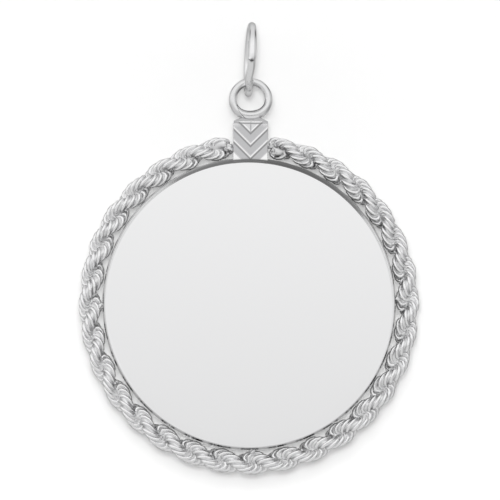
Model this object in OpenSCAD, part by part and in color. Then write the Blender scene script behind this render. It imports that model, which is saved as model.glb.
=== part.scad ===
// Disc pendant: a plain polished disc held in a grooved bezel with a twisted
// rope edge, a chevron tab and eye soldered on top, and a jump ring.
// The origin is the inside top of the jump ring, where a chain carries it.
// Z is up and the front of the disc faces -Y.

/* [Disc] */
// Diameter of the plain disc
disc_d = 24.18; // [23:0.02:25]
// Thickness of the disc
disc_t = 0.55; // [0.4:0.05:0.7]
// Running clearance between the disc and its groove
disc_gap = 0.03; // [0.02:0.005:0.04]

/* [Bezel] */
// Front to back depth of the bezel band
bezel_depth = 1.9; // [1.8:0.05:2.1]
// How far the face of the disc lies below the front of the band
disc_recess = 0.9; // [0.7:0.05:1.1]
// How far the lips of the band reach over the edge of the disc
lip = 0.11; // [0.08:0.01:0.2]
// Metal outside the groove
bezel_wall = 0.08; // [0.06:0.01:0.15]
// Radius of each solder tack between band and rope
tack_r = 0.14; // [0.08:0.01:0.14]

/* [Rope edge] */
// Outer diameter of the two-strand rope
rope_d = 1.96; // [1.8:0.02:2.1]
// Lobes of the rope in a full circle, two for each turn of the strands
rope_lobes = 32; // [28:1:36]
// Angle of one crest of the rope, from +X towards +Z
rope_crest_angle = 1.775; // [0:0.005:11.25]
// How far the strands bow out where they cross the front and the back of the rope
rope_bow = 0.15; // [0:0.01:0.2]
// Clearance between the rope and the band or the tab
rope_gap = 0.04; // [0.02:0.01:0.08]

/* [Chevron tab] */
// Width of the tab
tab_w = 2.87; // [2.6:0.01:3.2]
// Height of the top of the tab above the centre of the disc
tab_top = 15.2; // [15:0.05:15.6]
// Reach of the flat of the tab to the front and to the back
tab_half_t = 1; // [0.9:0.05:1.1]
// Height of the lowest point of the first chevron above the centre of the disc
chevron_top_v = 14.25; // [14:0.05:14.4]
// Distance from one chevron to the next
chevron_pitch = 1.08; // [1:0.01:1.2]
// Width of a chevron's ridge, measured up the tab
ridge_w = 0.2; // [0.1:0.01:0.3]
// How far the ridges stand proud
ridge_h = 0.12; // [0.05:0.01:0.2]

/* [Eye] */
// Diameter of the eye on its wire's centre line
eye_d = 3; // [2.8:0.05:3.2]
// Thickness of the eye's wire
eye_wire = 0.65; // [0.6:0.05:0.8]
// Height of the centre of the eye above the centre of the disc
eye_rise = 17.23; // [17.1:0.01:17.3]
// Width of the solder that fills the corners between the eye and the tab
foot_w = 2.8; // [2.4:0.1:2.8]
// Height of this solder above the tab
foot_h = 0.45; // [0.3:0.05:0.5]

/* [Jump ring] */
// Diameter of the jump ring on its wire's centre line
ring_d = 5.65; // [5:0.05:6]
// Thickness of the jump ring's wire
ring_wire = 0.65; // [0.6:0.05:0.8]
// Turn of the jump ring about the vertical
ring_turn = 4; // [0:0.5:8]
// Gap between the eye and the jump ring that it hangs on
hang_gap = 0.25; // [0.1:0.05:0.3]

/* [Hidden] */
$fn = 96;

// Heights of the centres, downwards from the origin
ring_z = -(ring_d - ring_wire) / 2;
ring_low_z = ring_z - ring_d / 2;
pivot_z = ring_low_z + ring_wire / 2 + hang_gap + eye_wire / 2;
eye_z = pivot_z - eye_d / 2;
disc_z = eye_z - eye_rise;

// The band, front to back and from the opening outwards
band_front = -bezel_depth / 2;
band_back = bezel_depth / 2;
disc_front = band_front + disc_recess;
disc_back = disc_front + disc_t;
groove_r = disc_d / 2 + disc_gap;
opening_r = disc_d / 2 - lip;
band_r = groove_r + bezel_wall;

// The rope's circle and the angle at which its ends meet the tab
rope_r = band_r + rope_gap + rope_d / 2;
rope_end_angle = asin((tab_w / 2 + rope_gap) / (rope_r - rope_d / 2));
rope_sides = 14;
rings_per_lobe = 6;
strand_r = rope_d / 4;

// Places of the three solder tacks along the rim, in lobes from the first crest
tack_lobes = [0, 16, 24];
tack_out = 0.1;
tack_forward = 0.5;

chevrons = 4;
foot_t = 0.6;
foot_sink = 0.1;

module to_disc() {
    translate([0, 0, disc_z]) rotate([90, 0, 0]) children();
}

// The plain polished disc
module disc() {
    color("#e8e9ea") to_disc() translate([0, 0, -disc_back]) cylinder(h = disc_t, r = disc_d / 2);
}

// The plain band, before its groove is cut
module band() {
    translate([0, 0, -band_back]) difference() {
        cylinder(h = bezel_depth, r = band_r);
        translate([0, 0, -bezel_depth / 2]) cylinder(h = 2 * bezel_depth, r = opening_r);
    }
}

// The groove that holds the disc, through the band and the foot of the tab
module groove() {
    translate([0, 0, -disc_back - disc_gap]) cylinder(h = disc_t + 2 * disc_gap, r = groove_r);
}

// Small beads of solder in the angle between the band and the rope, front and back
module tacks() {
    lobe_angle = 360 / rope_lobes;
    for (lobe = tack_lobes, side = [-1, 1])
        rotate([0, 0, rope_crest_angle + lobe * lobe_angle])
            translate([band_r + tack_out, 0, side * tack_forward]) sphere(r = tack_r);
}

module tab_outline() {
    difference() {
        translate([-tab_w / 2, 0]) square([tab_w, tab_top]);
        circle(r = opening_r, $fn = 360);
    }
}

// One V at 45 degrees with its lowest point at height v
module chevron(v) {
    reach = tab_w;
    polygon([
        [0, v],
        [reach, v + reach],
        [reach, v + reach + ridge_w],
        [0, v + ridge_w],
        [-reach, v + reach + ridge_w],
        [-reach, v + reach]
    ]);
}

module tab() {
    translate([0, 0, -tab_half_t]) linear_extrude(height = 2 * tab_half_t) tab_outline();
    linear_extrude(height = tab_half_t + ridge_h) intersection() {
        tab_outline();
        for (k = [0:chevrons - 1]) chevron(chevron_top_v - k * chevron_pitch);
    }
}

// The eye lies in the plane of the disc, on a foot of solder as wide as the tab
module eye() {
    translate([0, eye_rise, 0]) rotate_extrude() translate([eye_d / 2, 0]) circle(d = eye_wire);
    translate([0, tab_top, -foot_t / 2]) linear_extrude(height = foot_t) polygon([
        [-foot_w / 2, -foot_sink],
        [foot_w / 2, -foot_sink],
        [foot_w / 2, foot_h],
        [-foot_w / 2, foot_h]
    ]);
}

// Band, tab and eye are soldered into one solid
module bezel() {
    color("#d9dadb") to_disc() difference() {
        union() {
            band();
            tacks();
            tab();
            eye();
        }
        groove();
    }
}

// Section of the rope across both strands, the first point on the outer crest
function strand_point(i, sides) =
    let (half = sides / 2, side = i < half ? 1 : -1, step = i % half - (half - 1) / 2)
    let (a = step * 300 / (half - 1))
    [side * strand_r * (1 + cos(a)), side * strand_r * sin(a)];

// A point of the section at angle a of the route, turned with the strands
function rope_point(a, p) =
    let (twist = (rope_crest_angle - a) * rope_lobes / 2, middle_r = rope_r + rope_bow * pow(sin(twist), 2))
    let (out = p[0] * cos(twist) - p[1] * sin(twist), front = p[0] * sin(twist) + p[1] * cos(twist))
    [(middle_r + out) * cos(a), (middle_r + out) * sin(a), front];

// The twisted rope runs round the band from one side of the tab to the other
module rope_edge() {
    start = 90 + rope_end_angle;
    sweep = 360 - 2 * rope_end_angle;
    rings = round(rope_lobes * sweep / 360) * rings_per_lobe;
    n = rope_sides;
    points = [for (k = [0:rings], i = [0:n - 1]) rope_point(start + sweep * k / rings, strand_point(i, n))];
    walls = [for (k = [0:rings - 1], i = [0:n - 1])
        let (a = k * n + i, b = k * n + (i + 1) % n)
        each [[a, a + n, b + n], [a, b + n, b]]];
    first_cap = [[for (i = [0:n - 1]) i]];
    last_cap = [[for (i = [n - 1:-1:0]) rings * n + i]];
    color("#c9cbcd") to_disc() polyhedron(points = points, faces = concat(walls, first_cap, last_cap));
}

// The round jump ring stands across the disc and carries the eye
module jump_ring() {
    color("#d2d4d6") translate([0, 0, ring_z]) rotate([0, 0, ring_turn]) rotate([0, 90, 0])
        rotate_extrude() translate([ring_d / 2, 0]) circle(d = ring_wire);
}

disc();
bezel();
rope_edge();
jump_ring();
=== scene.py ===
"""Looks of the rope-edged disc pendant: every piece, its finish, the studio and the camera."""

import logging
import math
from abc import ABC, abstractmethod
from dataclasses import dataclass, field
from enum import Enum
from typing import Iterable, Sequence

import bmesh
import bpy
from mathutils import Matrix, Quaternion, Vector, noise


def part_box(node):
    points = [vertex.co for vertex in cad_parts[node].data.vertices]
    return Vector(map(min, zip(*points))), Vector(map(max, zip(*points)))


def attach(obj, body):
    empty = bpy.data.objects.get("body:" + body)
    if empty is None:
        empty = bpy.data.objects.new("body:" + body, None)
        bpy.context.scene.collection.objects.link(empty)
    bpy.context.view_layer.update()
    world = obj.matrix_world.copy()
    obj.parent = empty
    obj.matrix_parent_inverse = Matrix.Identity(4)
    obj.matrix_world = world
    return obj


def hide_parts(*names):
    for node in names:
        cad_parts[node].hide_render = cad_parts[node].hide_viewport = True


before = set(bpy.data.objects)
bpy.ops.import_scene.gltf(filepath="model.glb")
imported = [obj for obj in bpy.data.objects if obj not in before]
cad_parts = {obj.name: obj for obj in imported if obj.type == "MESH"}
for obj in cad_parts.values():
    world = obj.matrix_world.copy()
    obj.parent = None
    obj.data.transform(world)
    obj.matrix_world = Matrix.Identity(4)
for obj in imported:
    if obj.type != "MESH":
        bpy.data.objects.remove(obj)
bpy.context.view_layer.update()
LOG = logging.getLogger("pendant")
MM = 0.001
MERGE_DISTANCE = 1e-8

# The attribute of painted shade and wear is 0 where shade is painted (dark corners, gaps and dark
# reflections), GROUND on plain metal and 1 where the metal is rubbed or polished bright; on the
# tab's bright lines that is partly a painted highlight
PAINTED_SHADE_AND_WEAR = "painted_shade_and_wear"
GROUND = 0.5

Point = Sequence[float]
Face = Sequence[int]
Colour = tuple[float, float, float, float]
Shift = tuple[float, float, float]
Socket = bpy.types.NodeSocket
Piece = bpy.types.Object


class Stand(Enum):
    """What a piece stands for: its node, its material slot and its body in the record."""

    DISC = ("disc", "disc_silver", "pendant")
    BEZEL = ("bezel", "bezel_silver", "pendant")
    ROPE = ("rope_edge", "rope_silver", "pendant")
    RING = ("jump_ring", "ring_silver", "hanger")


@dataclass
class NodeBench:
    """Short ways to add nodes to one node tree."""

    tree: bpy.types.NodeTree

    def add(
        self,
        kind: str,
        *values: object,
        named: dict[str, object] | None = None,
        **settings: object,
    ) -> bpy.types.Node:
        """Adds a node.

        Args:
            kind: The node's type.
            values: A socket or a plain value for each input in order, or None to leave it.
            named: The same for inputs that are given by name.
            settings: The node's own properties.

        Returns:
            The node.
        """
        node = self.tree.nodes.new(kind)
        for name, setting in settings.items():
            setattr(node, name, setting)
        for socket, value in zip(node.inputs, values):
            self.feed(socket, value)
        for name, value in (named or {}).items():
            self.feed(node.inputs[name], value)
        return node

    def feed(self, socket: Socket, value: object) -> None:
        """Gives an input what it reads.

        Args:
            socket: The input.
            value: The socket to link to it, its plain value, or None to leave it.
        """
        if isinstance(value, Socket):
            self.tree.links.new(value, socket)
        elif value is not None:
            socket.default_value = value

    def number(self, operation: str, *values: object) -> Socket:
        """Adds a Math node and returns its output."""
        return self.add("ShaderNodeMath", *values, operation=operation).outputs[0]

    def ramp(self, value: object, *ends: object, **settings: object) -> Socket:
        """Adds a Map Range node, whose ends are from, from, to and to, and returns its output."""
        return self.add("ShaderNodeMapRange", value, *ends, **settings).outputs["Result"]

    def vector(self, operation: str, *values: object) -> Socket:
        """Adds a Vector Math node and returns its output."""
        return self.add("ShaderNodeVectorMath", *values, operation=operation).outputs[0]

    def scaled(self, value: object, factor: object) -> Socket:
        """Adds a vector times a number and returns its output."""
        named = {"Scale": factor}
        return self.add("ShaderNodeVectorMath", value, named=named, operation="SCALE").outputs[0]

    def point(self, x: object, y: object, z: object) -> Socket:
        """Adds a Combine XYZ node and returns its output."""
        return self.add("ShaderNodeCombineXYZ", x, y, z).outputs[0]


def grey(tone: float) -> Colour:
    """Gives an opaque grey."""
    return tone, tone, tone, 1.0


@dataclass(frozen=True)
class SilverFinish:
    """One finish of silver: how bright, how smooth and how marked it is. Sizes are in metres."""

    name: str
    tone: tuple[float, float, float]
    roughness: float
    blotch_size: float = 2 * MM
    blotch_detail: float = 4.0
    blotch_roughness: float = 0.04
    grain_size: float = 0.06 * MM
    grain_height: float = 0.0
    dent_size: float = 0.8 * MM
    dent_height: float = 0.0
    bump_detail: float = 2.0
    edge_tone: float = 1.0
    # A finish that shows painted shade and wear reads the piece's attribute of them; the darkest
    # tone below is the colour of the painted shade.
    shows_painted_shade_and_wear: bool = False
    painted_shade_tone: float = 0.3
    bright_tone: float = 0.98
    bright_roughness: float = 0.06

    def build(self) -> bpy.types.Material:
        """Makes the node material of this finish.

        Returns:
            The material, which reads Object coordinates and, if it shows painted shade and wear,
            the piece's attribute of them.
        """
        material = bpy.data.materials.new(self.name)
        material.use_nodes = True
        bench = NodeBench(material.node_tree)
        place = bench.add("ShaderNodeTexCoord").outputs["Object"]
        blotch = self.mottle(bench, place, self.blotch_size, self.blotch_detail)
        most = self.roughness + self.blotch_roughness
        rough = bench.ramp(blotch, None, None, self.roughness, most)
        tone = (*self.tone, 1.0)
        if self.shows_painted_shade_and_wear:
            painted_shade_and_wear = bench.add("ShaderNodeAttribute", attribute_name=PAINTED_SHADE_AND_WEAR).outputs["Fac"]
            tone = self.painted_shade_and_wear_tone(bench, painted_shade_and_wear)
            rough = bench.ramp(painted_shade_and_wear, GROUND, None, rough, self.bright_roughness)
        normal = None
        marks = ((self.dent_size, self.dent_height), (self.grain_size, self.grain_height))
        for size, height in marks:
            if height:
                mark = self.mottle(bench, place, size, self.bump_detail)
                named = {"Strength": 1.0, "Distance": height, "Height": mark, "Normal": normal}
                normal = bench.add("ShaderNodeBump", named=named).outputs["Normal"]
        shader = bench.tree.nodes["Principled BSDF"]
        bench.feed(shader.inputs["Metallic"], 1.0)
        bench.feed(shader.inputs["Base Color"], tone)
        # Specular Tint below white greys the reflection at grazing angles, which paints shade along
        # the outlines of wires and edges.
        bench.feed(shader.inputs["Specular Tint"], grey(self.edge_tone))
        bench.feed(shader.inputs["Roughness"], rough)
        bench.feed(shader.inputs["Normal"], normal)
        return material

    def painted_shade_and_wear_tone(self, bench: NodeBench, painted_shade_and_wear: Socket) -> Socket:
        """Adds the tone set by the piece's painted shade and wear: painted shade in its corners,
        gaps and dark reflections, and bright metal on its rubbed and polished lines.

        Args:
            bench: The material's bench.
            painted_shade_and_wear: The piece's painted shade and wear.

        Returns:
            The tone.
        """
        ramp = bench.add("ShaderNodeValToRGB", painted_shade_and_wear)
        stops = ramp.color_ramp.elements
        # The darkest stop is the painted shade, the brightest the rubbed or polished metal.
        stops[0].color, stops[1].color = grey(self.painted_shade_tone), grey(self.bright_tone)
        stops.new(GROUND).color = (*self.tone, 1.0)
        return ramp.outputs["Color"]

    @staticmethod
    def mottle(bench: NodeBench, place: Socket, size: float, detail: float) -> Socket:
        """Adds a noise whose marks have a size in metres, and returns its value."""
        named = {"Vector": place, "Scale": 1.0 / size, "Detail": detail}
        return bench.add("ShaderNodeTexNoise", named=named).outputs["Fac"]


DISC_FINISH = SilverFinish(
    "mirror_disc", (0.93, 0.93, 0.935), 0.03, blotch_size=6 * MM, blotch_roughness=0.02
)
# The band's dark tone is painted shade: in the gap between band and rope, and a dark reflection and
# shade across its top.
BAND_FINISH = SilverFinish(
    "bright_band", (0.72, 0.72, 0.725), 0.03, blotch_roughness=0.02, shows_painted_shade_and_wear=True, painted_shade_tone=0.22
)
# The eye's dark tone is painted shade and dark reflections on its inner edge.
EYE_FINISH = SilverFinish(
    "eye_wire",
    (0.82, 0.82, 0.825),
    0.08,
    dent_size=0.5 * MM,
    dent_height=0.012 * MM,
    edge_tone=0.5,
    shows_painted_shade_and_wear=True,
    painted_shade_tone=0.2,
)
# The tab paints shade in the corners under its ridges, in its middle rib and under its top line;
# its bright lines are polish with a painted highlight.
TAB_FINISH = SilverFinish(
    "stamped_tab", (0.62, 0.62, 0.63), 0.3, grain_height=0.006 * MM, shows_painted_shade_and_wear=True
)
ROPE_FINISH = SilverFinish(
    "rope_wire",
    (0.96, 0.96, 0.965),
    0.04,
    dent_size=0.22 * MM,
    dent_height=0.022 * MM,
    edge_tone=0.38,
)
CORE_FINISH = SilverFinish(
    "rope_core", (0.95, 0.95, 0.955), 0.3, dent_size=0.3 * MM, dent_height=0.03 * MM
)
BEAD_FINISH = SilverFinish(
    "solder_beads", (0.86, 0.86, 0.865), 0.15, dent_size=0.25 * MM, dent_height=0.03 * MM
)
# The solder foot's dark tone is partly the duller solder and partly painted shade in the corners
# between eye and tab.
FOOT_FINISH = SilverFinish(
    "solder_foot", (0.55, 0.55, 0.555), 0.3, dent_size=0.25 * MM, dent_height=0.03 * MM
)
# The ring's dark tone is the painted shade in its seam and under its bottom tip.
RING_FINISH = SilverFinish(
    "drawn_wire",
    (0.92, 0.92, 0.925),
    0.08,
    edge_tone=0.56,
    shows_painted_shade_and_wear=True,
    painted_shade_tone=0.15,
    bright_tone=0.9,
    bright_roughness=0.35,
)


def linked(name: str, data: bpy.types.ID) -> Piece:
    """Makes an object and links it to the scene.

    Args:
        name: The object's name.
        data: Its mesh, light or camera.

    Returns:
        The object.
    """
    made = bpy.data.objects.new(name, data)
    bpy.context.collection.objects.link(made)
    return made


def smooth_piece(
    name: str,
    points: Iterable[Point],
    faces: Iterable[Face],
    sharp: float = 40.0,
    painted_shade_and_wear: Sequence[float] = (),
) -> Piece:
    """Makes a closed mesh object, smooth apart from its sharp edges.

    Args:
        name: The piece's name.
        points: The vertices, in metres.
        faces: The faces, as lists of vertex numbers.
        sharp: Edges that turn more than this angle, in degrees, stay sharp.
        painted_shade_and_wear: The painted shade and wear at each vertex, if the piece's finish
            shows them.

    Returns:
        The new object, whose faces point outwards.
    """
    mesh = bpy.data.meshes.new(name)
    mesh.from_pydata([tuple(p) for p in points], [], [tuple(f) for f in faces])
    if painted_shade_and_wear:
        mesh.attributes.new(PAINTED_SHADE_AND_WEAR, "FLOAT", "POINT").data.foreach_set("value", painted_shade_and_wear)
    shape = bmesh.new()
    shape.from_mesh(mesh)
    bmesh.ops.remove_doubles(shape, verts=shape.verts, dist=MERGE_DISTANCE)
    bmesh.ops.recalc_face_normals(shape, faces=shape.faces)
    shape.to_mesh(mesh)
    shape.free()
    mesh.shade_smooth()
    mesh.set_sharp_from_angle(angle=math.radians(sharp))
    return linked(name, mesh)


def grid_faces(rows: int, columns: int, close_rows: bool, close_columns: bool) -> list[Face]:
    """Joins rows of points into quads.

    Args:
        rows: How many rows there are.
        columns: How many points each row has.
        close_rows: Whether the last row joins the first.
        close_columns: Whether the last point of a row joins its first.

    Returns:
        The quads, as tuples of point numbers.
    """
    quads = []
    for i in range(rows if close_rows else rows - 1):
        for j in range(columns if close_columns else columns - 1):
            k, m = (i + 1) % rows, (j + 1) % columns
            quads.append((i * columns + j, i * columns + m, k * columns + m, k * columns + j))
    return quads


def grid_border(rows: int, columns: int) -> list[int]:
    """Lists the points at the border of a grid.

    Args:
        rows: How many rows the grid has.
        columns: How many points each row has.

    Returns:
        The point numbers, once round.
    """
    m, n = rows - 1, columns - 1
    border = [(0, j) for j in range(n)] + [(i, n) for i in range(m)]
    border += [(m, j) for j in range(n, 0, -1)] + [(i, 0) for i in range(m, 0, -1)]
    return [i * columns + j for i, j in border]


def tube_faces(rows: int, columns: int) -> list[Face]:
    """Joins rows of points into a tube with two flat ends."""
    ends = [tuple(range(columns)), tuple(range((rows - 1) * columns, rows * columns))]
    return grid_faces(rows, columns, False, True) + ends


def fan(row: Sequence[int], hub: int) -> list[Face]:
    """Joins a closed row of points to a hub by triangles."""
    return [(a, b, hub) for a, b in zip(row, [*row[1:], row[0]])]


def arc(centre: Point, radius: float, start: float, end: float, steps: int) -> list[Point]:
    """Gives the points of an arc in a plane, in equal steps between two angles in degrees."""
    turns = [math.radians(start + (end - start) * i / steps) for i in range(steps + 1)]
    return [(centre[0] + radius * math.cos(a), centre[1] + radius * math.sin(a)) for a in turns]


def dress(piece: Piece, material: bpy.types.Material, stand: Stand) -> None:
    """Gives a piece its material and its body, and hides the node that it replaces.

    Args:
        piece: The piece.
        material: Its material.
        stand: What it stands for.
    """
    node, slot, body = stand.value
    piece.data.materials.clear()
    piece.data.materials.append(material)
    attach(piece, body)
    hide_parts(node)
    LOG.info("%s: %d faces on %s", piece.name, len(piece.data.polygons), body)


@dataclass
class Layout:
    """Places and radii that the pieces share, in metres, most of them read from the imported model.

    Opening is the radius inside the band. The eye's rise is above the disc's centre, and its radius
    is that of its wire's centre line.
    """

    opening: float = 11.98 * MM
    eye_rise: float = 17.23 * MM
    eye_radius: float = 1.5 * MM
    centre: Vector = field(init=False)
    disc_radius: float = field(init=False)
    disc_front: float = field(init=False)
    disc_back: float = field(init=False)
    rope_half: float = field(init=False)
    ring_centre: Vector = field(init=False)
    ring_outer: float = field(init=False)

    def __post_init__(self) -> None:
        """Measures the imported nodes."""
        low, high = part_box("disc")
        self.centre = Vector(((low[0] + high[0]) / 2, 0.0, (low[2] + high[2]) / 2))
        self.disc_radius = (high[2] - low[2]) / 2
        self.disc_front, self.disc_back = low[1], high[1]
        low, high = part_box("rope_edge")
        self.rope_half = (high[1] - low[1]) / 2
        low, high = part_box("jump_ring")
        self.ring_centre = Vector([(a + b) / 2 for a, b in zip(low, high)])
        self.ring_outer = (high[2] - low[2]) / 2

    def on_disc(self, across: float, up: float, forward: float) -> Vector:
        """Places a point stated to the right of, above and in front of the disc's centre."""
        return self.centre + Vector((across, -forward, up))

    def spin(self, section: Sequence[Point], steps: int) -> list[Vector]:
        """Turns a section round the disc's axis.

        Args:
            section: Points that start with a radius and a height towards the front.
            steps: Steps once round.

        Returns:
            The points, one section after the other.
        """
        points = []
        for a in (2 * math.pi * i / steps for i in range(steps)):
            points += [self.on_disc(p[0] * math.cos(a), p[0] * math.sin(a), p[1]) for p in section]
        return points


@dataclass
class DiscPlate:
    """The plain polished disc, with a fine rounded edge."""

    layout: Layout
    edge_round: float = 0.06 * MM
    round_steps: int = 4
    face_rings: tuple[float, ...] = (0.3, 0.6, 0.9)
    last_ring: float = 0.09 * MM
    steps: int = 256

    def build(self) -> None:
        """Turns the disc's section round its axis."""
        r, k, turn = self.layout.disc_radius, self.edge_round, self.round_steps
        front, back = -self.layout.disc_front, -self.layout.disc_back
        inner = [ring * r for ring in self.face_rings] + [r - self.last_ring]
        section = [(x, front) for x in inner] + arc((r - k, front - k), k, 90, 0, turn)
        section += arc((r - k, back + k), k, 0, -90, turn) + [(x, back) for x in reversed(inner)]
        points, columns = self.layout.spin(section, self.steps), len(section)
        faces = grid_faces(self.steps, columns, True, False)
        for end in (0, columns - 1):
            faces += fan([i * columns + end for i in range(self.steps)], len(points))
            points.append(self.layout.on_disc(0.0, 0.0, section[end][1]))
        piece = smooth_piece("disc_plate", points, faces, sharp=60.0)
        dress(piece, DISC_FINISH.build(), Stand.DISC)


@dataclass(frozen=True)
class Patch:
    """Something strongest at one place of a ring that fades to 0 at its reach, in degrees."""

    place: float
    reach: float
    strength: float = 1.0

    def at(self, angle: float) -> float:
        """Gives the patch's strength at an angle."""
        away = abs((angle - self.place + 180.0) % 360.0 - 180.0)
        return self.strength * math.cos(math.radians(90.0 * min(away / self.reach, 1.0))) ** 2


@dataclass
class Band:
    """The thin grooved band that holds the disc, thicker round its groove than at its rims."""

    layout: Layout
    rim_outer: float = 12.07 * MM
    outer: float = 12.2 * MM
    half_depth: float = 0.95 * MM
    clearance: float = 0.03 * MM
    shoulder: float = 0.15 * MM
    slope: float = 0.2 * MM
    lip_round: float = 0.04 * MM
    round_steps: int = 4
    flank_start: float = 0.02 * MM
    # Levels and patches of painted shade and wear: the outside is darker as painted shade in the
    # gap to the rope, the inside is lighter than plain metal, and the patches paint more shade
    # across the top and on the right of the outside.
    outside_painted_shade_level: float = 0.24
    inside_level: float = 0.9
    top_painted_shade: Patch = Patch(74.0, 72.0)
    outside_painted_shade: Patch = Patch(10.0, 60.0, 0.6)
    steps: int = 256

    def section(self) -> list[tuple[float, float, float, bool]]:
        """Gives the band's section, bright inside and darker outside, where shade is painted in the
        gap to the rope.

        Returns:
            Points of radius, height towards the front, painted shade and wear, and whether they are
            on the outside, once round.
        """
        a, b, h = self.layout.opening, self.rim_outer, self.half_depth
        k, turn = self.lip_round, self.round_steps
        groove = self.layout.disc_radius + self.clearance
        front = -self.layout.disc_front + self.clearance
        back = -self.layout.disc_back - self.clearance
        lip_back = arc((a + k, -h + k), k, 180, 270, turn) + arc((b - k, -h + k), k, 270, 360, turn)
        lip_front = arc((b - k, h - k), k, 0, 90, turn) + arc((a + k, h - k), k, 90, 180, turn)
        outside = [(b, k - h + self.flank_start), (b, back - self.shoulder - self.slope)]
        outside += [(self.outer, back - self.shoulder), (self.outer, front + self.shoulder)]
        outside += [(b, front + self.shoulder + self.slope), (b, h - k - self.flank_start)]
        inside = [(a, h - k - self.flank_start), (a, front), (groove, front), (groove, back)]
        inside += [(a, back), (a, k - h + self.flank_start)]
        lines = (
            (lip_back, GROUND, False),
            (outside, self.outside_painted_shade_level, True),
            (lip_front, GROUND, False),
            (inside, self.inside_level, False),
        )
        return [(x, y, painted_shade_and_wear, out) for line, painted_shade_and_wear, out in lines for x, y in line]

    def build(self) -> None:
        """Turns the section round the disc's axis."""
        section = self.section()
        painted_shade_and_wear_values = []
        for i in range(self.steps):
            angle = 360 * i / self.steps
            # Painted shade: darker across the band's top and on the right of its outside.
            unshaded = 1.0 - self.top_painted_shade.at(angle)
            unshaded_outside = unshaded * (1.0 - self.outside_painted_shade.at(angle))
            painted_shade_and_wear_values += [painted_shade_and_wear * (unshaded_outside if out else unshaded) for _, _, painted_shade_and_wear, out in section]
        faces = grid_faces(self.steps, len(section), True, True)
        points = self.layout.spin(section, self.steps)
        piece = smooth_piece("bezel_band", points, faces, sharp=50.0, painted_shade_and_wear=painted_shade_and_wear_values)
        dress(piece, BAND_FINISH.build(), Stand.BEZEL)


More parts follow.
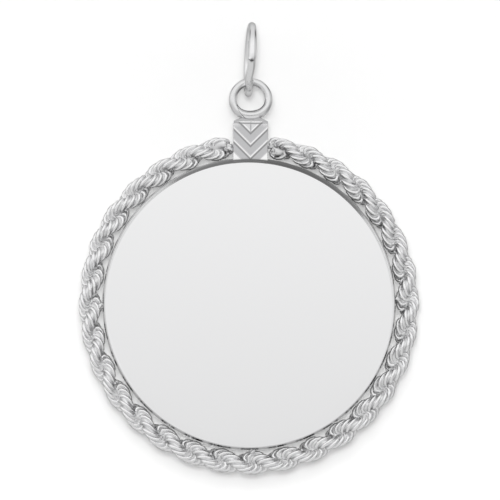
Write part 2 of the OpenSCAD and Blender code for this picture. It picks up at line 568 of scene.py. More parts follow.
@dataclass
class RopeEdge:
    """The rope chain round the band: two twisted strands of separate round wire links.

    Each link is a long ring. Its plane holds the line out from the rope's middle and leans a little
    from the rope's course, to the same hand in both strands. The inner side of a link lies inside
    the strand's closed core and is left out. Angles are in degrees.
    """

    layout: Layout
    name: str = "rope_links"
    centre_radius: float = 13.22 * MM
    lobes: int = 32
    crest_angle: float = 1.775
    bow: float = 0.15 * MM
    core_reach: float = 0.78 * MM
    core_steps: int = 8
    core_half: float = 150.0
    core_sides: int = 6
    links_per_lobe: float = 6.8
    wire_radius: float = 0.158 * MM
    link_radius: float = 0.4 * MM
    link_stretch: float = 1.6
    link_half: float = 125.0
    tilt: float = 10.0
    first_angle: float = 99.2
    sweep: float = 341.6
    turn_scatter: float = 7.0
    place_scatter: float = 0.028 * MM
    link_steps: int = 9
    wire_sides: int = 6
    seed: int = 3

    def sizes(self) -> dict[str, tuple[str, object]]:
        """Gives the tree's named inputs.

        Returns:
            Each input's socket type and value.
        """
        links = round(self.lobes * self.sweep / 360 * self.links_per_lobe)
        strand_out = self.layout.rope_half - self.wire_radius - self.link_radius
        whole, real, arrow = "NodeSocketInt", "NodeSocketFloat", "NodeSocketVector"
        return {
            "Links In A Strand": (whole, links),
            "Rope Radius": (real, self.centre_radius),
            "Bow": (real, self.bow),
            "Strand Offset": (real, strand_out),
            "Link Radius": (real, self.link_radius),
            "Wire Radius": (real, self.wire_radius),
            "First Angle": (real, math.radians(self.first_angle)),
            "Sweep": (real, math.radians(self.sweep)),
            "Crest Angle": (real, math.radians(self.crest_angle)),
            "Turns In A Circle": (real, self.lobes / 2),
            "Tilt": (real, math.radians(self.tilt)),
            "Link Half": (real, math.radians(self.link_half)),
            "Link Stretch": (arrow, (1.0, self.link_stretch, 1.0)),
            "Turn Scatter": (arrow, (math.radians(self.turn_scatter),) * 3),
            "Place Scatter": (arrow, (self.place_scatter,) * 3),
            "Seed": (whole, self.seed),
        }

    def tree(self, material: bpy.types.Material) -> bpy.types.NodeTree:
        """Builds the node tree that lays the links along the rope.

        Args:
            material: The links' material.

        Returns:
            The geometry node tree.
        """
        tree = bpy.data.node_groups.new(self.name, "GeometryNodeTree")
        tree.interface.new_socket("Geometry", in_out="OUTPUT", socket_type="NodeSocketGeometry")
        for name, (kind, _) in self.sizes().items():
            tree.interface.new_socket(name, in_out="INPUT", socket_type=kind)
        bench = NodeBench(tree)
        given = tree.nodes.new("NodeGroupInput").outputs
        centre, facing = self.route(bench, given)
        links = bench.number("MULTIPLY", given["Links In A Strand"], 2.0)
        row = bench.add("GeometryNodeMeshLine", links)
        nudge = self.scatter(bench, given["Place Scatter"], given["Seed"])
        moved = bench.vector("ADD", centre, nudge)
        place = bench.add("GeometryNodeSetPosition", row.outputs[0], None, moved)
        turn = self.scatter(bench, given["Turn Scatter"], bench.number("ADD", given["Seed"], 1.0))
        sway = bench.add("FunctionNodeEulerToRotation", turn).outputs[0]
        loose = bench.add("FunctionNodeRotateRotation", facing, sway, rotation_space="LOCAL")
        named = {"Instance": self.link(bench, given), "Rotation": loose.outputs[0]}
        laid = bench.add("GeometryNodeInstanceOnPoints", place.outputs[0], named=named)
        whole = bench.add("GeometryNodeRealizeInstances", laid.outputs[0])
        smooth = bench.add("GeometryNodeSetShadeSmooth", whole.outputs[0])
        dressed = bench.add("GeometryNodeSetMaterial", smooth.outputs[0], None, material)
        bench.add("NodeGroupOutput", dressed.outputs[0])
        return tree

    @staticmethod
    def route(bench: NodeBench, given: bpy.types.NodeOutputs) -> tuple[Socket, Socket]:
        """Adds the nodes that follow the two strands along the rope, before any scatter.

        Args:
            bench: The tree's bench.
            given: The tree's inputs.

        Returns:
            The place of each link's centre, and its rotation.
        """
        index = bench.add("GeometryNodeInputIndex").outputs[0]
        strand = bench.number("MODULO", index, 2.0)
        order = bench.number("DIVIDE", bench.number("ADD", index, 0.5), 2.0)
        part = bench.number("DIVIDE", order, given["Links In A Strand"])
        angle = bench.number("MULTIPLY_ADD", part, given["Sweep"], given["First Angle"])
        lobe_turn = bench.number("SUBTRACT", given["Crest Angle"], angle)
        twist = bench.number("MULTIPLY", lobe_turn, given["Turns In A Circle"])
        twist = bench.number("MULTIPLY_ADD", strand, math.pi, twist)
        cos_angle, sin_angle = bench.number("COSINE", angle), bench.number("SINE", angle)
        cos_twist, sin_twist = bench.number("COSINE", twist), bench.number("SINE", twist)
        outward = bench.point(cos_angle, 0.0, sin_angle)
        along = bench.point(bench.number("MULTIPLY", sin_angle, -1.0), 0.0, cos_angle)
        front = bench.point(0.0, -1.0, 0.0)
        across = bench.vector(
            "ADD", bench.scaled(outward, cos_twist), bench.scaled(front, sin_twist)
        )
        turned = bench.vector(
            "SUBTRACT", bench.scaled(front, cos_twist), bench.scaled(outward, sin_twist)
        )
        leaned = bench.scaled(turned, bench.number("SINE", given["Tilt"]))
        straight = bench.scaled(along, bench.number("COSINE", given["Tilt"]))
        lengthways = bench.vector("ADD", straight, leaned)
        normal = bench.vector("CROSS_PRODUCT", across, lengthways)
        facing = bench.add(
            "FunctionNodeAxesToRotation", normal, across, primary_axis="Z", secondary_axis="X"
        )
        crossing = bench.number("POWER", sin_twist, 2.0)
        middle = bench.number("MULTIPLY_ADD", crossing, given["Bow"], given["Rope Radius"])
        centre = bench.scaled(outward, middle)
        centre = bench.vector("ADD", centre, bench.scaled(across, given["Strand Offset"]))
        return centre, facing.outputs[0]

    @staticmethod
    def scatter(bench: NodeBench, reach: Socket, seed: object) -> Socket:
        """Adds a random vector for each link.

        Args:
            bench: The tree's bench.
            reach: How far the vector goes each way along each axis.
            seed: The random seed.

        Returns:
            The vector.
        """
        least, named = bench.scaled(reach, -1.0), {"Seed": seed}
        node = bench.add(
            "FunctionNodeRandomValue", least, reach, named=named, data_type="FLOAT_VECTOR"
        )
        return node.outputs[0]

    def link(self, bench: NodeBench, given: bpy.types.NodeOutputs) -> Socket:
        """Adds the nodes of one link, a long arc of round wire.

        Args:
            bench: The tree's bench.
            given: The tree's inputs.

        Returns:
            The link's mesh.
        """
        wire_size = {"Radius": given["Wire Radius"]}
        wire = bench.add("GeometryNodeCurvePrimitiveCircle", self.wire_sides, named=wire_size)
        bend = {
            "Radius": given["Link Radius"],
            "Start Angle": bench.number("MULTIPLY", given["Link Half"], -1.0),
            "Sweep Angle": bench.number("MULTIPLY", given["Link Half"], 2.0),
        }
        course = bench.add("GeometryNodeCurveArc", self.link_steps, named=bend).outputs[0]
        stretch = {"Scale": given["Link Stretch"]}
        long = bench.add("GeometryNodeTransform", course, named=stretch).outputs[0]
        caps = {"Fill Caps": True}
        return bench.add("GeometryNodeCurveToMesh", long, wire.outputs[0], named=caps).outputs[0]

    def build(self) -> None:
        """Runs the node tree and keeps its result as a plain mesh."""
        material = ROPE_FINISH.build()
        tree = self.tree(material)
        maker = linked("rope_maker", bpy.data.meshes.new("rope_maker"))
        modifier = maker.modifiers.new("links", "NODES")
        modifier.node_group = tree
        values = self.sizes()
        for item in tree.interface.items_tree:
            if item.in_out == "INPUT":
                modifier[item.identifier] = values[item.name][1]
        graph = bpy.context.evaluated_depsgraph_get()
        mesh = bpy.data.meshes.new_from_object(maker.evaluated_get(graph))
        bpy.data.objects.remove(maker)
        mesh.transform(Matrix.Translation(self.layout.centre))
        dress(linked(self.name, mesh), material, Stand.ROPE)
        self.core()

    def core(self) -> None:
        """Makes the closed middle of the two strands."""
        strand, half, sides = self.core_reach / 2, self.core_half, self.core_sides
        section = arc((strand, 0.0), strand, -half, half, sides)
        section += arc((-strand, 0.0), strand, 180 - half, 180 + half, sides)
        rows = round(self.lobes * self.sweep / 360) * self.core_steps
        points = []
        for i in range(rows + 1):
            angle = math.radians(self.first_angle + self.sweep * i / rows)
            twist = (math.radians(self.crest_angle) - angle) * self.lobes / 2
            middle = self.centre_radius + self.bow * math.sin(twist) ** 2
            for p, q in section:
                radius = middle + p * math.cos(twist) - q * math.sin(twist)
                forward = p * math.sin(twist) + q * math.cos(twist)
                across, up = radius * math.cos(angle), radius * math.sin(angle)
                points.append(self.layout.on_disc(across, up, forward))
        faces = tube_faces(rows + 1, len(section))
        piece = smooth_piece(f"{self.name}_core", points, faces, sharp=80.0)
        dress(piece, CORE_FINISH.build(), Stand.ROPE)


@dataclass
class WireRing(ABC):
    """A ring of round wire that is cut through at its seam.

    Angles are in degrees, from the right towards the top in the ring's own plane. The seam's cut
    may run slanting through the wire. A place round the wire is 0 degrees on the ring's outside,
    180 on its inside and 270 on its front.
    """

    layout: Layout
    wire: float = 0.325 * MM
    seam: float = 0.0
    gap: float = 0.0
    slant: float = 0.0
    steps: int = 128
    sides: int = 24

    @abstractmethod
    def shape(self, angle: float) -> Shift:
        """Gives the wire's shift outwards, its growth and its shift sideways at an angle."""

    @abstractmethod
    def painted_shade_and_rub(self, angle: float, place: float) -> float:
        """Gives how much shade is painted on the wire at an angle and a place round it, or below 0
        how rubbed.
        """

    def stations(self) -> list[tuple[float, float]]:
        """Lists the points of the mesh.

        Returns:
            The angle and the place round the wire of each point.
        """
        places = [360.0 * j / self.sides for j in range(self.sides)]
        lean = [self.slant * math.cos(math.radians(place)) for place in places]
        first, sweep = self.seam + self.gap / 2, 360 - self.gap
        angles = [first + sweep * i / self.steps for i in range(self.steps + 1)]
        return [(angle + more, place) for angle in angles for more, place in zip(lean, places)]

    def bent(self, name: str, centre: Vector, turn: Matrix, radius: float) -> Piece:
        """Bends the wire to its ring.

        Args:
            name: The piece's name.
            centre: The ring's centre.
            turn: How the ring's plane is turned.
            radius: The radius of the wire's centre line.

        Returns:
            The piece.
        """
        points, painted_shade_and_wear_values = [], []
        for angle, place in self.stations():
            out, grow, aside = self.shape(angle)
            a, b, wire = math.radians(angle), math.radians(place), self.wire + grow
            reach = radius + out + wire * math.cos(b)
            p = Vector((reach * math.cos(a), aside + wire * math.sin(b), reach * math.sin(a)))
            points.append(centre + turn @ p)
            # The painted shade darkens the wire's tone below plain metal.
            painted_shade_and_wear_values.append(GROUND - GROUND * self.painted_shade_and_rub(angle, place))
        return smooth_piece(name, points, tube_faces(self.steps + 1, self.sides), painted_shade_and_wear=painted_shade_and_wear_values)


@dataclass
class Eye(WireRing):
    """The soldered eye above the tab, whose wire is thicker at the bottom."""

    seam: float = 228.5
    slant: float = 33.5
    gap: float = 2.6
    swelling: Patch = Patch(275.0, 80.0, 0.13 * MM)
    swelling_growth: float = 0.6
    # Painted shade and dark reflections on the wire's inner edge, in stretches round the eye.
    painted_shade_side: Patch = Patch(212.0, 34.0)
    painted_shade_stretches: tuple[Patch, ...] = (
        Patch(136.0, 26.0),
        Patch(58.0, 22.0, 0.8),
        Patch(290.0, 70.0, 0.5),
    )

    def shape(self, angle: float) -> Shift:
        """Gives the wire's shift outwards, its growth and its shift sideways."""
        swelling = self.swelling.at(angle)
        return -swelling, swelling * self.swelling_growth, 0.0

    def painted_shade_and_rub(self, angle: float, place: float) -> float:
        """Gives the shade painted on the inner edge: dark reflections beside the jump ring and
        shade under the swelling.
        """
        return self.painted_shade_side.at(place) * sum(part.at(angle) for part in self.painted_shade_stretches)

    def build(self) -> None:
        """Makes the eye's wire."""
        centre = self.layout.on_disc(0.0, self.layout.eye_rise, 0.0)
        piece = self.bent("eye", centre, Matrix.Identity(3), self.layout.eye_radius)
        dress(piece, EYE_FINISH.build(), Stand.BEZEL)


@dataclass
class JumpRing(WireRing):
    """The jump ring, which stands across the disc, leans a little and is bent beside its seam."""

    turn: float = 2.9
    lean: float = 1.7
    shift: float = -0.08 * MM
    drift: float = 0.02 * MM
    bend: Patch = Patch(225.0, 25.0, 0.15 * MM)
    seam: float = 189.5
    gap: float = 1.8
    slant: float = 3.5
    # Painted shade in the seam's cut and under the ring's bottom tip.
    seam_painted_shade_reach: float = 4.5
    seam_painted_shade_side: Patch = Patch(4.0, 42.0)
    tip_painted_shade: Patch = Patch(288.0, 32.0)
    rubbed: Patch = Patch(240.0, 45.0, 0.6)
    rubbed_side: Patch = Patch(0.0, 150.0)

    def painted_shade_and_rub(self, angle: float, place: float) -> float:
        """Gives the shade painted under the ring and in its seam.

        Args:
            angle: The angle round the ring.
            place: The place round the wire.

        Returns:
            The painted shade from 0 to 1, or below 0 where the eye has rubbed the wire dull.
        """
        tip = self.tip_painted_shade.at(angle)
        cut = self.seam + self.slant * math.cos(math.radians(place))
        seam = Patch(cut, self.seam_painted_shade_reach).at(angle) * self.seam_painted_shade_side.at(place)
        rubbed = self.rubbed.at(angle) * self.rubbed_side.at(place)
        return min(tip + seam, 1.0) - rubbed * (1.0 - tip)

    def shape(self, angle: float) -> Shift:
        """Bends the wire below its seam and lets its ends drift apart.

        Args:
            angle: The angle round the ring.

        Returns:
            The wire's shift outwards, its growth and its shift sideways.
        """
        past_seam = ((angle - self.seam) % 360.0) / 360.0
        bend = self.bend.at(angle) * (past_seam < 0.5)
        return 0.0, 0.0, bend + self.drift * (1.0 - 2.0 * past_seam)

    def build(self) -> None:
        """Makes the ring's wire."""
        centre = self.layout.ring_centre + Vector((self.shift, 0.0, 0.0))
        lean = Matrix.Rotation(math.radians(self.lean), 3, "Y")
        turn = lean @ Matrix.Rotation(math.radians(90 + self.turn), 3, "Z")
        piece = self.bent("jump_ring_wire", centre, turn, self.layout.ring_outer - self.wire)
        dress(piece, RING_FINISH.build(), Stand.RING)


@dataclass(frozen=True)
class Bead:
    """An uneven bead of solder, from the disc's centre.

    Its place and its half sizes are in metres. Wobble is how uneven it is, detail how many bumps
    its radius has, and spread sets each bead's own bumps from its place.
    """

    across: float
    up: float
    forward: float
    half_width: float
    half_height: float
    half_depth: float
    wobble: float
    detail: float = 1.7
    spread: float = 9000.0
    rows: int = 14
    columns: int = 24

    def mesh(self, layout: Layout) -> tuple[list[Vector], list[Face]]:
        """Makes the bead.

        Args:
            layout: The shared places.

        Returns:
            The points and the faces.
        """
        centre = layout.on_disc(self.across, self.up, self.forward)
        radii = (self.half_width, self.half_depth, self.half_height)
        points = []
        for i in range(1, self.rows):
            rise = math.radians(-90 + 180 * i / self.rows)
            for j in range(self.columns):
                a, flat = 2 * math.pi * j / self.columns, math.cos(rise)
                way = Vector((math.cos(a) * flat, math.sin(a) * flat, math.sin(rise)))
                bumps = noise.noise(way * self.detail + centre * self.spread)
                size = 1.0 + self.wobble * bumps
                points.append(centre + Vector([size * r * w for r, w in zip(radii, way)]))
        faces = grid_faces(self.rows - 1, self.columns, False, True)
        for sign, row in ((-1.0, 0), (1.0, self.rows - 2)):
            faces += fan(range(row * self.columns, (row + 1) * self.columns), len(points))
            points.append(centre + Vector((0.0, 0.0, sign * self.half_height)))
        return points, faces


@dataclass
class SolderBeads:
    """The beads of solder at the rope's ends, and the tacks between the rope and the band.

    The depth of a tack is in tack sizes, and its angle is from the right towards the top.
    """

    layout: Layout
    tack_angles: tuple[float, ...] = (1.8, 181.8, 271.8)
    tack_radius: float = 12.33 * MM
    tack_size: float = 0.22 * MM
    tack_depth: float = 1.3
    tack_forward: float = 0.5 * MM
    tack_wobble: float = 0.7
    ends: tuple[Bead, ...] = (
        Bead(-1.76 * MM, 12.98 * MM, 0.3 * MM, 0.36 * MM, 0.36 * MM, 0.5 * MM, 0.5),
        Bead(1.68 * MM, 13.08 * MM, 0.35 * MM, 0.24 * MM, 0.16 * MM, 0.3 * MM, 0.5),
    )

    def build(self) -> None:
        """Makes the tacks, front and back, and the beads at the rope's ends."""
        size = self.tack_size
        shape = (size, size, size * self.tack_depth, self.tack_wobble)
        beads = list(self.ends)
        for a in map(math.radians, self.tack_angles):
            across, up = self.tack_radius * math.cos(a), self.tack_radius * math.sin(a)
            beads += [Bead(across, up, side * self.tack_forward, *shape) for side in (1.0, -1.0)]
        points, faces = [], []
        for bead in beads:
            new_points, new_faces = bead.mesh(self.layout)
            faces += [tuple(len(points) + k for k in face) for face in new_faces]
            points += new_points
        piece = smooth_piece("solder_beads", points, faces, sharp=80.0)
        dress(piece, BEAD_FINISH.build(), Stand.BEZEL)


@dataclass
class EyeFoot:
    """The solder that fills the corners between the eye and the top of the tab."""

    layout: Layout
    half: float = 1.42 * MM
    bottom: float = 15.1 * MM
    top: float = 15.36 * MM
    slope: float = 0.5
    thick: float = 0.15 * MM
    swell: float = 0.05 * MM
    lump: float = 0.03 * MM
    lump_scale: float = 4000.0
    side_width: float = 0.12 * MM
    rim_part: float = 0.2
    thinning: float = 0.6
    columns: int = 48
    rows: int = 12

    def point(self, side: float, across: float, part: float) -> Vector:
        """Gives a point of the foot, which thins towards its sides and its rim.

        Args:
            side: 1 in front and -1 at the back.
            across: From -1 at the left to 1 at the right.
            part: From 0 at the bottom to 1 at the rim, along the eye's wire or its own slope.

        Returns:
            The point.
        """
        u = self.half * across
        inset = self.half - abs(u)
        wire = self.layout.eye_rise - math.sqrt(self.layout.eye_radius**2 - u**2)
        v = self.bottom + (min(wire, self.top + self.slope * inset) - self.bottom) * part
        edge = min(inset / self.side_width, (1.0 - part) / self.rim_part, 1.0)
        lumps = noise.noise(Vector((u, v, side * MM)) * self.lump_scale)
        thick = self.thick + self.swell * (1.0 - part) ** 2 + self.lump * lumps
        depth = thick * math.sqrt(1.0 - self.thinning * (1.0 - edge) ** 2)
        return self.layout.on_disc(u, v, side * depth)

    def build(self) -> None:
        """Makes the foot's front and back and joins them round their border."""
        m, n = self.rows, self.columns
        places = [(2 * j / n - 1, i / m) for i in range(m + 1) for j in range(n + 1)]
        points = [self.point(side, *place) for side in (1.0, -1.0) for place in places]
        count = len(places)
        front, ring = grid_faces(m + 1, n + 1, False, False), grid_border(m + 1, n + 1)
        faces = front + [tuple(count + k for k in quad) for quad in front]
        faces += [(a, b, count + b, count + a) for a, b in zip(ring, ring[1:] + ring[:1])]
        piece = smooth_piece("eye_foot", points, faces, sharp=70.0)
        dress(piece, FOOT_FINISH.build(), Stand.BEZEL)


@dataclass
class ChevronTab:
    """The stamped tab: a solid plate whose front carries a relief of chevrons.

    Lifts and depths are in heights of a ridge. Darks are parts of the full painted shade, and
    brights parts of the full polish, which is partly a painted highlight.
    """

    layout: Layout
    half_width: float = 1.435 * MM
    top: float = 15.2 * MM
    front: float = 1.0 * MM
    back: float = -1.0 * MM
    chevrons: int = 4
    first_chevron: float = 14.25 * MM
    pitch: float = 1.08 * MM
    ridge_height: float = 0.05 * MM
    upper_flank: float = 0.15 * MM
    lower_flank: float = 0.06 * MM
    corner_width: float = 0.06 * MM
    corner_depth: float = 0.5
    triangle_lift: float = 0.9
    # Brights are polish with a painted highlight; the rib's and the top line's darks are painted
    # shade.
    triangle_bright: float = 0.2
    rib_depth: float = 0.5
    rib_painted_shade: float = 0.6
    foot_rise: float = 0.3
    line_drop: float = 0.12 * MM
    line_lift: float = 1.3
    line_polish_and_highlight: float = 2.0
    line_reach: float = 0.95 * MM
    line_end_power: int = 12
    ledge_lift: float = 0.5
    under_depth: float = 0.4
    under_painted_shade: float = 0.8
    shoulder_drop: float = 0.25 * MM
    shoulder_width: float = 0.2 * MM
    shoulder_bright: float = 0.2
    polish_and_highlight: float = 2.2
    hatch_pitch: float = 0.117 * MM
    hatch_height: float = 0.006 * MM
    edge_round: float = 0.05 * MM
    columns: int = 140
    rows: int = 160

    @staticmethod
    def bump(away: float, width: float) -> float:
        """Gives 1 at a line and fades smoothly to 0 beyond its width."""
        return math.exp(-((away / width) ** 2))

    @staticmethod
    def crest(away: float, reach: float) -> float:
        """Gives 1 at a line and falls in a wave to 0 at its reach."""
        return 0.5 + 0.5 * math.cos(math.pi * min(abs(away) / reach, 1.0))

    def corner(self, below: float) -> float:
        """Gives the corner at the foot of a ridge's lower flank, at a distance below its line."""
        return self.bump(below - self.lower_flank - 0.5 * self.corner_width, self.corner_width)

    def stamped(self, u: float, v: float) -> tuple[float, float, float]:
        """Gives the chevrons with their hatching, the triangle above and the feet below them.

        Args:
            u: Distance to the right of the middle.
            v: Height above the disc's centre.

        Returns:
            The height above the plain plate, how bright it is polished and painted as a highlight,
            and how much shade is painted on it.
        """
        climb = (v - abs(u) - self.first_chevron) / self.pitch
        past_last = 1.0 - self.chevrons - climb
        if past_last > 0.0:
            return self.ridge_height + self.foot_rise * past_last * self.pitch, 1.0, 0.0
        away = (climb - min(round(climb), 0)) * self.pitch / math.sqrt(2)
        ridge = self.crest(away, self.upper_flank if away > 0.0 else self.lower_flank)
        # Shade is painted in the corner at a ridge's foot.
        corner = self.corner(-away)
        above = (climb - math.floor(climb)) * self.pitch / math.sqrt(2)
        hatch = self.hatch_height * math.sin(2 * math.pi * above / self.hatch_pitch)
        height = self.ridge_height * (ridge - self.corner_depth * corner) + hatch * (1.0 - ridge)
        if climb <= 0.0:
            return height, ridge, corner
        rib = self.bump(u, self.corner_width)
        triangle = self.ridge_height * (self.triangle_lift - self.rib_depth * rib)
        return max(height, triangle), max(ridge, self.triangle_bright), self.rib_painted_shade * rib

    def relief(self, u: float, v: float) -> tuple[float, float]:
        """Gives the height of the front above its plain plate, and its painted shade and polish.

        A ridge has a gentle flank above and a steep one below, which ends in a corner with painted
        shade. The bright line along the top, polished and a painted highlight, ends in a shoulder
        on each side.

        Args:
            u: Distance to the right of the middle.
            v: Height above the disc's centre.

        Returns:
            The height towards the front, and the painted shade and polish.
        """
        height, bright, dark = self.stamped(u, v)
        below = self.top - v - self.line_drop
        if below > 0.0:
            line = self.crest(below, self.lower_flank)
            lift, polish_and_highlight = self.line_lift * line, min(self.line_polish_and_highlight * line, 1.0)
        else:
            line, dark = self.crest(below, self.line_drop), 0.0
            lift, polish_and_highlight = self.ledge_lift + (self.line_lift - self.ledge_lift) * line, 1.0
        end = 1.0 / (1.0 + (u / self.line_reach) ** self.line_end_power)
        under = end * self.corner(below)
        height = max(height, self.ridge_height * lift)
        height -= self.under_depth * self.ridge_height * under
        shoulder = self.bump(self.top - v - self.shoulder_drop, self.shoulder_width)
        # The bright lines are polish with a painted highlight.
        bright = max(bright, self.shoulder_bright * shoulder * (1.0 - end))
        bright = max(min(self.polish_and_highlight * bright, 1.0) * (1.0 - line), polish_and_highlight * end)
        # Painted shade in the corner under the top line.
        dark = max(dark, self.under_painted_shade * under)
        return height, GROUND + GROUND * (bright * (1.0 - dark) - dark)

    def build(self) -> None:
        """Makes the plate, its relief and its rounded edges."""
        points, painted_shade_and_wear_values = [], []
        m, n = self.rows, self.columns
        for i in range(m + 1):
            for j in range(n + 1):
                u = self.half_width * (2 * j / n - 1)
                low = math.sqrt(self.layout.opening**2 - u**2)
                v = low + (self.top - low) * i / m
                near = min(self.half_width - abs(u), self.top - v, v - low)
                bevel = self.edge_round * (1 - min(near / self.edge_round, 1.0)) ** 2
                height, painted_shade_and_wear = self.relief(u, v)
                points.append(self.layout.on_disc(u, v, self.front + height - bevel))
                painted_shade_and_wear_values.append(painted_shade_and_wear)
        ring = grid_border(m + 1, n + 1)
        count, start = len(ring), len(points)
        points += [Vector((points[k].x, -self.back, points[k].z)) for k in ring]
        painted_shade_and_wear_values += [GROUND] * count
        behind = list(range(start, start + count))
        faces = grid_faces(m + 1, n + 1, False, False) + [tuple(behind)]
        for k in range(count):
            faces.append((ring[k - 1], ring[k], behind[k], behind[k - 1]))
        piece = smooth_piece("chevron_tab", points, faces, sharp=50.0, painted_shade_and_wear=painted_shade_and_wear_values)
        dress(piece, TAB_FINISH.build(), Stand.BEZEL)


def direction(azimuth: float, elevation: float) -> Vector:
    """Gives the unit vector to a side, 0 degrees in front and 90 at the right, and a height."""
    a, e = math.radians(azimuth), math.radians(elevation)
    return Vector((math.sin(a) * math.cos(e), -math.cos(a) * math.cos(e), math.sin(e)))


@dataclass(frozen=True)
class Card:
    """A round soft box, or a dark card if its light is negative. Angles are in degrees."""

    azimuth: float
    elevation: float
    inner: float
    outer: float
    light: float


@dataclass(frozen=True)
class Lamp:
    """A small round lamp beside the camera, which only the matt cove shows.

    Its place is to the right of the camera and above it, in metres, and its power is in watts.
    """

    name: str
    right: float
    up: float
    radius: float
    power: float


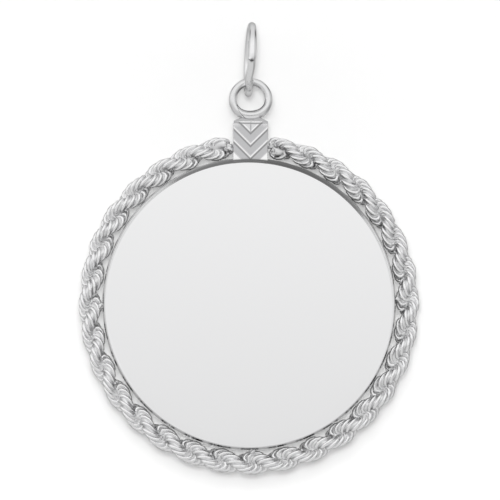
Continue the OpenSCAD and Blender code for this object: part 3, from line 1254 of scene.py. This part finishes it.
@dataclass
class Studio:
    """The white cove, the lights and the camera.

    Sizes are in metres, angles in degrees and pixels those of the photograph. The sky goes from its
    third value to its fourth between the first two heights of a direction.
    """

    layout: Layout
    wall_back: float = 45 * MM
    floor_drop: float = 60 * MM
    cove_round: float = 40 * MM
    cove_tone: float = 0.485
    half_width: float = 400 * MM
    wall_top: float = 300 * MM
    floor_reach: float = 400 * MM
    photo_pixels: float = 500.0
    pixels_per_mm: float = 12.0
    disc_pixel: tuple[float, float] = (249.2, 303.0)
    lens: float = 150.0
    sensor: float = 36.0
    from_left: float = 0.9
    from_below: float = 6.8
    lean: float = 0.42
    sky: tuple[float, float, float, float] = (-0.17, 0.1935, 0.66, 0.95)
    cards: tuple[Card, ...] = (
        Card(180, 65, 35, 75, -0.22),
        Card(95, 10, 30, 60, -0.3),
        Card(-115, 10, 20, 50, -0.15),
        Card(180, 8, 10, 35, 0.05),
        Card(-117, 40, 6, 13, -0.45),
        Card(117, 40, 6, 13, -0.45),
    )
    board_clear: float = 1.045
    board_reach: float = 60.0
    board_bottom: float = -30 * MM
    board_behind: float = 8 * MM
    board_light: float = 0.28
    cove_steps: int = 16
    board_steps: int = 32
    clip: tuple[float, float] = (0.01, 10.0)
    lamps: tuple[Lamp, ...] = (
        Lamp("near_shadow", -0.15 * MM, 1.4 * MM, 1.6 * MM, 1.55),
        Lamp("wide_shadow", -0.2 * MM, 5.6 * MM, 4.6 * MM, 0.9),
    )

    @staticmethod
    def backing(
        name: str, points: Sequence[Point], faces: Sequence[Face]
    ) -> tuple[Piece, NodeBench]:
        """Makes a part of the studio, with an empty material.

        Args:
            name: The part's name.
            points: Its points.
            faces: Its faces.

        Returns:
            The part and the bench of its material.
        """
        mesh = bpy.data.meshes.new(name)
        mesh.from_pydata(points, [], faces)
        mesh.shade_smooth()
        material = bpy.data.materials.new(f"{name}_finish")
        material.use_nodes = True
        material.node_tree.nodes.clear()
        mesh.materials.append(material)
        part = linked(name, mesh)
        return part, NodeBench(material.node_tree)

    def cove(self) -> None:
        """Makes a floor that curves up into a wall, seen from its front only."""
        wall, floor = self.wall_back, self.layout.centre.z - self.floor_drop
        k, half = self.cove_round, self.half_width
        line = [(-self.floor_reach, floor)]
        line += arc((wall - k, floor + k), k, 270, 360, self.cove_steps) + [(wall, self.wall_top)]
        points = [(x, y, z) for x in (half, -half) for y, z in line]
        cove, bench = self.backing("cove", points, grid_faces(2, len(line), False, False))
        paint = bench.add("ShaderNodeBsdfDiffuse", grey(self.cove_tone)).outputs[0]
        clear = bench.add("ShaderNodeBsdfTransparent").outputs[0]
        behind = bench.add("ShaderNodeNewGeometry").outputs["Backfacing"]
        mix = bench.add("ShaderNodeMixShader", behind, paint, clear).outputs[0]
        bench.add("ShaderNodeOutputMaterial", mix)
        cove.visible_glossy = False

    def board(self, camera: Piece) -> None:
        """Makes the dark board round the camera, which the corner of disc and band reflects.

        Its top is cut out in an arc just clear of what the disc's flat face reflects.

        Args:
            camera: The camera.
        """
        centre, depth = self.layout.centre, camera.location.y - self.board_behind
        away = (centre.y - depth) / (centre.y - camera.location.y)
        seen = centre + (centre - camera.location) * away
        radius = self.layout.disc_radius * (1.0 + away) * self.board_clear
        start, end = 270 - self.board_reach, 270 + self.board_reach
        line = arc((seen.x, seen.z), radius, start, end, self.board_steps)
        bottom = centre.z + self.board_bottom
        outline = [(line[0][0], bottom), *line, (line[-1][0], bottom)]
        points = [(x, depth, z) for x, z in outline]
        board, bench = self.backing("camera_board", points, [tuple(range(len(points)))])
        cloth = bench.add("ShaderNodeEmission", named={"Strength": self.board_light}).outputs[0]
        bench.add("ShaderNodeOutputMaterial", cloth)
        board.visible_camera = False

    def surround(self) -> None:
        """Paints the soft boxes and dark cards that the metal reflects on the world."""
        world = bpy.data.worlds.new("studio")
        bpy.context.scene.world = world
        world.use_nodes = True
        bench = NodeBench(world.node_tree)
        way = bench.add("ShaderNodeTexCoord").outputs["Generated"]
        total = bench.ramp(bench.add("ShaderNodeSeparateXYZ", way).outputs["Z"], *self.sky)
        for card in self.cards:
            aim = direction(card.azimuth, card.elevation)
            near = bench.add("ShaderNodeVectorMath", way, aim, operation="DOT_PRODUCT")
            outer, inner = math.cos(math.radians(card.outer)), math.cos(math.radians(card.inner))
            ends = (outer, inner, 0.0, card.light)
            edge = bench.ramp(near.outputs["Value"], *ends, interpolation_type="SMOOTHSTEP")
            total = bench.number("ADD", total, edge)
        background = bench.tree.nodes["Background"]
        bench.feed(background.inputs["Color"], grey(1.0))
        bench.feed(background.inputs["Strength"], bench.number("MAXIMUM", total, 0.0))

    def light(self, camera: Piece) -> None:
        """Sets the lamps that cast the soft shadow.

        Args:
            camera: The camera that the lamps stand beside.
        """
        for lamp in self.lamps:
            light = bpy.data.lights.new(lamp.name, "POINT")
            light.energy, light.shadow_soft_size = lamp.power, lamp.radius
            bulb = linked(lamp.name, light)
            beside = camera.rotation_quaternion @ Vector((lamp.right, lamp.up, 0.0))
            bulb.location = camera.location + beside
            bulb.visible_glossy = False

    def camera(self) -> Piece:
        """Sets the camera at the photograph's angle and scale.

        Returns:
            The camera.
        """
        view = bpy.data.cameras.new("view")
        view.lens, view.sensor_width = self.lens, self.sensor
        view.clip_start, view.clip_end = self.clip
        camera = linked("view", view)
        back = direction(-self.from_left, -self.from_below)
        turn = back.to_track_quat("Z", "Y") @ Quaternion((0.0, 0.0, 1.0), math.radians(self.lean))
        right, up = turn @ Vector((1.0, 0.0, 0.0)), turn @ Vector((0.0, 1.0, 0.0))
        pixel, middle = MM / self.pixels_per_mm, self.photo_pixels / 2
        shift_right = (middle - self.disc_pixel[0]) * pixel
        shift_up = (self.disc_pixel[1] - middle) * pixel
        aim = self.layout.centre + right * shift_right + up * shift_up
        camera.location = aim + back * self.photo_pixels * pixel * self.lens / self.sensor
        camera.rotation_mode = "QUATERNION"
        camera.rotation_quaternion = turn
        bpy.context.scene.camera = camera
        bpy.context.scene.view_settings.view_transform = "Standard"
        return camera

    def build(self) -> None:
        """Sets up the cove, the lights and the camera."""
        camera = self.camera()
        self.cove()
        self.board(camera)
        self.surround()
        self.light(camera)


def main() -> None:
    """Builds the pendant and its studio."""
    logging.basicConfig(level=logging.INFO, format="%(name)s: %(message)s")
    layout = Layout()
    Studio(layout).build()
    for part in (DiscPlate, Band, ChevronTab, Eye, SolderBeads, EyeFoot, RopeEdge, JumpRing):
        part(layout).build()


if __name__ == "__main__":
    main()
